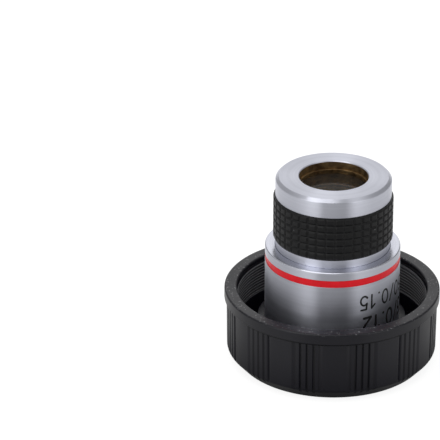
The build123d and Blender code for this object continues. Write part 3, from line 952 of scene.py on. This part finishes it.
class OBJECTIVE_OT_rear_optics(bpy.types.Operator):
    """Turns the stop, spacer, rear cell and the rings that hold them, and grinds the rear glass"""
    bl_idname = "objective.rear_optics"
    bl_label = "Rear cell and glass"

    def execute(self, context):
        s = in_mm(context.scene.objective_sizes)
        plain_ring("aperture_stop_disc", "aperture_stop", s.stop_bore)
        plain_ring("spacer_tube_ring", "spacer_tube", s.spacer_bore)
        plain_ring("rear_baffle_ring", "rear_baffle", s.baffle_bore)
        slotted_ring("rear_slotted_ring", "rear_retaining_ring", s.rear_ring_bore, s, False)
        slotted_ring("stack_slotted_ring", "stack_lock_ring", s.stack_ring_bore, s, False)
        radius, foot, top = span("rear_cell")
        ring_radius, _, ring_top = span("rear_retaining_ring")
        ring_bore = ring_radius + FIT
        glass_bore = REAR_GLASS_RADIUS + FIT
        ledge = REAR_GLASS_RADIUS - s.rear_ledge
        turned("rear_lens_cell", [
            (ring_bore, foot), (radius, foot), (radius, top), (ledge, top),
            (ledge, REAR_GLASS_TOP), (glass_bore, REAR_GLASS_TOP),
            (glass_bore, ring_top, 0.03), (ring_bore, ring_top, 0.03),
        ], "blackened_brass", "rear_cell")
        lower = cap_of_sphere(s.rear_ring_bore, ring_top, ring_top - s.rear_sag)[::-1]
        rows = np.vstack([
            lower,
            section([
                (s.rear_ring_bore, ring_top), (REAR_GLASS_RADIUS, ring_top),
                (REAR_GLASS_RADIUS, REAR_GLASS_TOP, 0.1), (0, REAR_GLASS_TOP),
            ], ring=False)[1:],
        ])
        glass = new_piece("rear_glass", *skin(revolve(rows, even_turns(COLUMNS // 2)), False))
        dress(glass, "objective", "optical_glass", "rear_crown_lens", "rear_flint_lens")
        return {"FINISHED"}


# Numbers on the barrel

def straight(x0, y0, x1, y1):
    """Centre line of a straight stroke: start + (end - start) t."""
    t = np.linspace(0, 1, 12)[:, None]
    return np.array([x0, y0]) + (np.array([x1, y1]) - np.array([x0, y0])) * t


def curved(x, y, width, height, start, end, count=40):
    """Centre line of a curved stroke: middle + (width cos t, height sin t), t in degrees."""
    t = np.radians(np.linspace(start, end, count))
    return np.column_stack([x + width * np.cos(t), y + height * np.sin(t)])


# Width and strokes of each figure, for a height of 1
FIGURES = {
    "0": (0.58, [curved(0.29, 0.5, 0.29, 0.5, 0, 360, 60)]),
    "1": (0.36, [straight(0.3, 0, 0.3, 1), straight(0.3, 1, 0.03, 0.76)]),
    "2": (0.56, [
        curved(0.28, 0.71, 0.26, 0.29, 170, -28), straight(0.51, 0.575, 0.03, 0),
        straight(0.03, 0, 0.54, 0),
    ]),
    "5": (0.56, [
        straight(0.5, 1, 0.1, 1), straight(0.1, 1, 0.06, 0.56),
        curved(0.26, 0.335, 0.27, 0.335, 139, -148),
    ]),
    ".": (0.12, [straight(0.05, 0.03, 0.07, 0.03)]),
    "/": (0.42, [straight(0, -0.04, 0.42, 1.04)]),
}
FIGURE_GAP = 0.27


def pill(path, half, rise):
    """Skin of one stroke, as points (x, y, h): an ellipse half wide and rise high stands square to
    the path at each point. Past both ends its size falls off as a quarter circle, and a path
    that closes is left a ring."""
    closed = np.allclose(path[0], path[-1])
    if closed:
        path = path[:-1]
        ahead = np.roll(path, -1, 0) - np.roll(path, 1, 0)
    else:
        ahead = np.gradient(path, axis=0)
    ahead /= np.linalg.norm(ahead, axis=1)[:, None]
    size = np.ones(len(path))
    if not closed:
        q = np.radians([90, 68, 45, 22])
        path = np.vstack([
            path[0] - ahead[0] * half * np.sin(q)[:, None], path,
            path[-1] + ahead[-1] * half * np.sin(q[::-1])[:, None],
        ])
        ahead = np.vstack([np.repeat(ahead[:1], 4, 0), ahead, np.repeat(ahead[-1:], 4, 0)])
        size = np.concatenate([np.cos(q), size, np.cos(q[::-1])])
    left = np.column_stack([-ahead[:, 1], ahead[:, 0]])
    a = np.arange(10) * TURN / 10
    across = size[:, None] * half * np.cos(a)
    flat = path[:, None] + left[:, None] * across[..., None]
    high = size[:, None] * rise * np.sin(a)
    return skin(np.concatenate([flat, high[..., None]], 2), closed)


def engraved_line(words, base, height, start, stroke, proud):
    """Skins of a line of numbers wrapped on the barrel, turned upside down. A point (x, y, h) of
    the line goes to the angle start + (width - x) / R, the height base - y and the radius
    R + h, so the line reads right when the nose points down."""
    x, parts = 0.0, []
    rise = 2.5 * proud
    for figure in words:
        width, strokes = FIGURES[figure]
        for path in strokes:
            parts.append(pill((path + [x, 0]) * height, stroke / 2, rise))
        x += width + FIGURE_GAP
    whole = (x - FIGURE_GAP) * height
    made = []
    for vertices, faces in parts:
        turn = start + (whole - vertices[:, 0]) / BARREL_RADIUS - math.pi / 2
        radius = BARREL_RADIUS + proud - rise + vertices[:, 2]
        made.append((np.column_stack([
            radius * np.cos(turn), radius * np.sin(turn), base - vertices[:, 1],
        ]), faces))
    return made


class OBJECTIVE_OT_numbers(bpy.types.Operator):
    """Engraves two lines of plain numbers on the barrel and fills them with black paint"""
    bl_idname = "objective.numbers"
    bl_label = "Numbers"

    def execute(self, context):
        s = in_mm(context.scene.lettering)
        parts = engraved_line(
            s.upper_line, s.upper_base, s.upper_height, s.upper_start, s.upper_stroke, s.proud
        ) + engraved_line(
            s.lower_line, s.lower_base, s.lower_height, s.lower_start, s.lower_stroke, s.proud
        )
        shift, faces = 0, []
        for points, part in parts:
            faces += [[corner + shift for corner in face] for face in part]
            shift += len(points)
        piece = new_piece("barrel_numbers", np.vstack([points for points, _ in parts]), faces)
        dress(piece, "objective", "engraving_fill")
        return {"FINISHED"}


# Studio

# What metal mirrors, as (degrees from the front, brightness): the table, the horizon, the walls
# and the ceiling. A grey card and the dark camera lie before the object, between two sheets of
# white paper lit from the side; the sides are dim, and the back is a lit white wall.
TABLE = [
    (-180, 1.15), (-155, 0.95), (-126, 0.72), (-100, 0.67), (-60, 0.64), (-32, 0.66), (-20, 0.48),
    (22, 0.47), (32, 0.62), (50, 0.66), (110, 0.7), (130, 0.72), (155, 0.95), (180, 1.15),
]
HORIZON = [
    (-180, 0.9), (-150, 0.3), (-100, 0.4), (-78, 0.6), (-58, 1.4), (-45, 1.95), (-33, 1.5),
    (-20, 0.3), (22, 0.25), (31, 0.6), (42, 1.7), (54, 1.3), (78, 0.5), (100, 0.35), (126, 0.18),
    (150, 0.25), (180, 0.9),
]
WALLS = [
    (-180, 1.05), (-150, 0.45), (-110, 0.35), (-78, 0.35), (-45, 1.2), (-32, 1.0), (-20, 0.25),
    (22, 0.25), (33, 0.8), (45, 1.0), (78, 0.3), (115, 0.3), (150, 0.45), (180, 1.05),
]
CEILING = [(-180, 1.05), (-130, 0.66), (-20, 0.64), (60, 0.6), (130, 0.62), (180, 1.05)]


def studio_round(tree, way, ring):
    """Brightness of a ring of studio at the turn of (x, y) from the front, -Y: a ramp over the
    turn's share of the circle, atan2(x, -y) / 2 pi + 1/2."""
    behind = node(tree, "Math", {0: way.outputs["Y"], 1: -1}, operation="MULTIPLY")
    turn = node(tree, "Math", {0: way.outputs["X"], 1: behind}, operation="ARCTAN2")
    share = node(tree, "Math", {0: turn, 1: 1 / TURN, 2: 0.5}, operation="MULTIPLY_ADD")
    stops = [(degrees / 360 + 0.5, value) for degrees, value in ring]
    return node(tree, "ValToRGB", {0: share}, stops=stops)


def floor_material(studio):
    """Floor that is white to the camera and keeps a soft shadow. In reflections it shows the
    studio that stands round the object."""
    made, tree, place = begun("white_sweep")
    away = lathe_place(tree, place)[0]
    # Close to the foot the table lies in the object's own shade, also where metal mirrors it.
    shade = node(tree, "MapRange", {0: away, 1: 0.016, 2: 0.034, 3: 0.15, 4: 1.0})
    around = studio_round(tree, node(tree, "SeparateXYZ", {0: place}), TABLE)
    mirrored = node(tree, "Emission", {"Color": around, "Strength": shade})
    white = node(tree, "Emission", {"Color": (1, 1, 1, 1), "Strength": studio.floor_white})
    paper = node(tree, "BsdfDiffuse", {"Color": (0.25, 0.25, 0.25, 1)})
    seen_floor = node(tree, "AddShader", {0: white, 1: paper})
    lit_floor = node(tree, "BsdfDiffuse", {"Color": (0.9, 0.9, 0.9, 1)})
    ray = node(tree, "LightPath")
    seen = node(tree, "MixShader", {0: ray.outputs["Is Camera Ray"], 1: lit_floor, 2: seen_floor})
    return finished(made, node(tree, "MixShader", {
        0: ray.outputs["Is Glossy Ray"], 1: seen, 2: mirrored,
    }))


def soft_sky(studio):
    """World that is white to the camera and lights softly from all round. In reflections it is
    the horizon, which turns into the walls and then the ceiling as the height z of a direction
    rises."""
    world = bpy.data.worlds.new("soft_sky")
    world.use_nodes = True
    tree = world.node_tree
    tree.nodes.clear()
    way = node(tree, "SeparateXYZ", {0: node(tree, "TexCoord").outputs["Generated"]})
    room = studio_round(tree, way, HORIZON)
    for ring, low, high in ((WALLS, 0.26, 0.4), (CEILING, 0.6, 0.85)):
        rise = node(tree, "MapRange", {0: way.outputs["Z"], 1: low, 2: high}, clamp=True)
        room = node(tree, "Mix", {
            0: rise, 6: room, 7: studio_round(tree, way, ring),
        }, data_type="RGBA").outputs[2]
    mirrored = node(tree, "Background", {"Color": room, "Strength": 1})
    soft = node(tree, "Background", {"Color": (1, 1, 1, 1), "Strength": studio.sky})
    white = node(tree, "Background", {"Color": (1, 1, 1, 1), "Strength": 1})
    ray = node(tree, "LightPath")
    lit = node(tree, "MixShader", {0: ray.outputs["Is Glossy Ray"], 1: soft, 2: mirrored})
    both = node(tree, "MixShader", {0: ray.outputs["Is Camera Ray"], 1: lit, 2: white})
    node(tree, "OutputWorld", {"Surface": both})
    return world


class OBJECTIVE_OT_stage(bpy.types.Operator):
    """Sets the floor, the soft light and the camera"""
    bl_idname = "objective.stage"
    bl_label = "Stage"

    def execute(self, context):
        scene, studio = context.scene, context.scene.studio
        half = studio.floor_half
        mesh = bpy.data.meshes.new("floor")
        mesh.from_pydata(
            [(-half, -half, 0), (half, -half, 0), (half, half, 0), (-half, half, 0)],
            [], [(0, 1, 2, 3)],
        )
        floor = bpy.data.objects.new("floor", mesh)
        scene.collection.objects.link(floor)
        mesh.materials.append(floor_material(studio))

        scene.world = soft_sky(studio)

        lamp = bpy.data.lights.new("soft_box", "AREA")
        lamp.shape = "RECTANGLE"
        lamp.size = lamp.size_y = studio.key_size
        lamp.energy = studio.key_power
        key = bpy.data.objects.new("soft_box", lamp)
        key.location = x, y, z = studio.key_place
        key.rotation_euler = (math.atan2(math.hypot(x, y), z), 0, math.atan2(x, -y))
        scene.collection.objects.link(key)

        camera = bpy.data.cameras.new("camera")
        camera.sensor_width = 36
        camera.lens = studio.focal_length
        eye = bpy.data.objects.new("camera", camera)
        eye.location = studio.place
        eye.rotation_euler = (math.pi / 2 - studio.pitch, 0, 0)
        scene.collection.objects.link(eye)
        scene.camera = eye
        scene.view_settings.view_transform = "Standard"
        return {"FINISHED"}


# Add-on

OPERATORS = [
    OBJECTIVE_OT_stage,
    OBJECTIVE_OT_storage_cap,
    OBJECTIVE_OT_mount_body,
    OBJECTIVE_OT_barrel,
    OBJECTIVE_OT_neck,
    OBJECTIVE_OT_grip_ring,
    OBJECTIVE_OT_nose_ring,
    OBJECTIVE_OT_front_optics,
    OBJECTIVE_OT_rear_optics,
    OBJECTIVE_OT_numbers,
]


class OBJECTIVE_PT_panel(bpy.types.Panel):
    """Sizes, finishes and pieces of the objective and its cap"""
    bl_idname = "OBJECTIVE_PT_panel"
    bl_label = "Microscope objective"
    bl_space_type = "VIEW_3D"
    bl_region_type = "UI"
    bl_category = "Objective"

    def draw(self, context):
        for name, group in GROUPS.items():
            box = self.layout.box()
            box.label(text=name.replace("_", " "))
            for key in group.__annotations__:
                box.prop(getattr(context.scene, name), key)
        for operator in OPERATORS:
            self.layout.operator(operator.bl_idname)


CLASSES = [*GROUPS.values(), *OPERATORS, OBJECTIVE_PT_panel]


def register():
    for cls in CLASSES:
        bpy.utils.register_class(cls)
    for name, group in GROUPS.items():
        setattr(bpy.types.Scene, name, bpy.props.PointerProperty(type=group))


def unregister():
    for name in GROUPS:
        delattr(bpy.types.Scene, name)
    for cls in reversed(CLASSES):
        bpy.utils.unregister_class(cls)


def main():
    register()
    for operator in OPERATORS:
        group, name = operator.bl_idname.split(".")
        getattr(getattr(bpy.ops, group), name)()


if __name__ == "__main__":
    main()
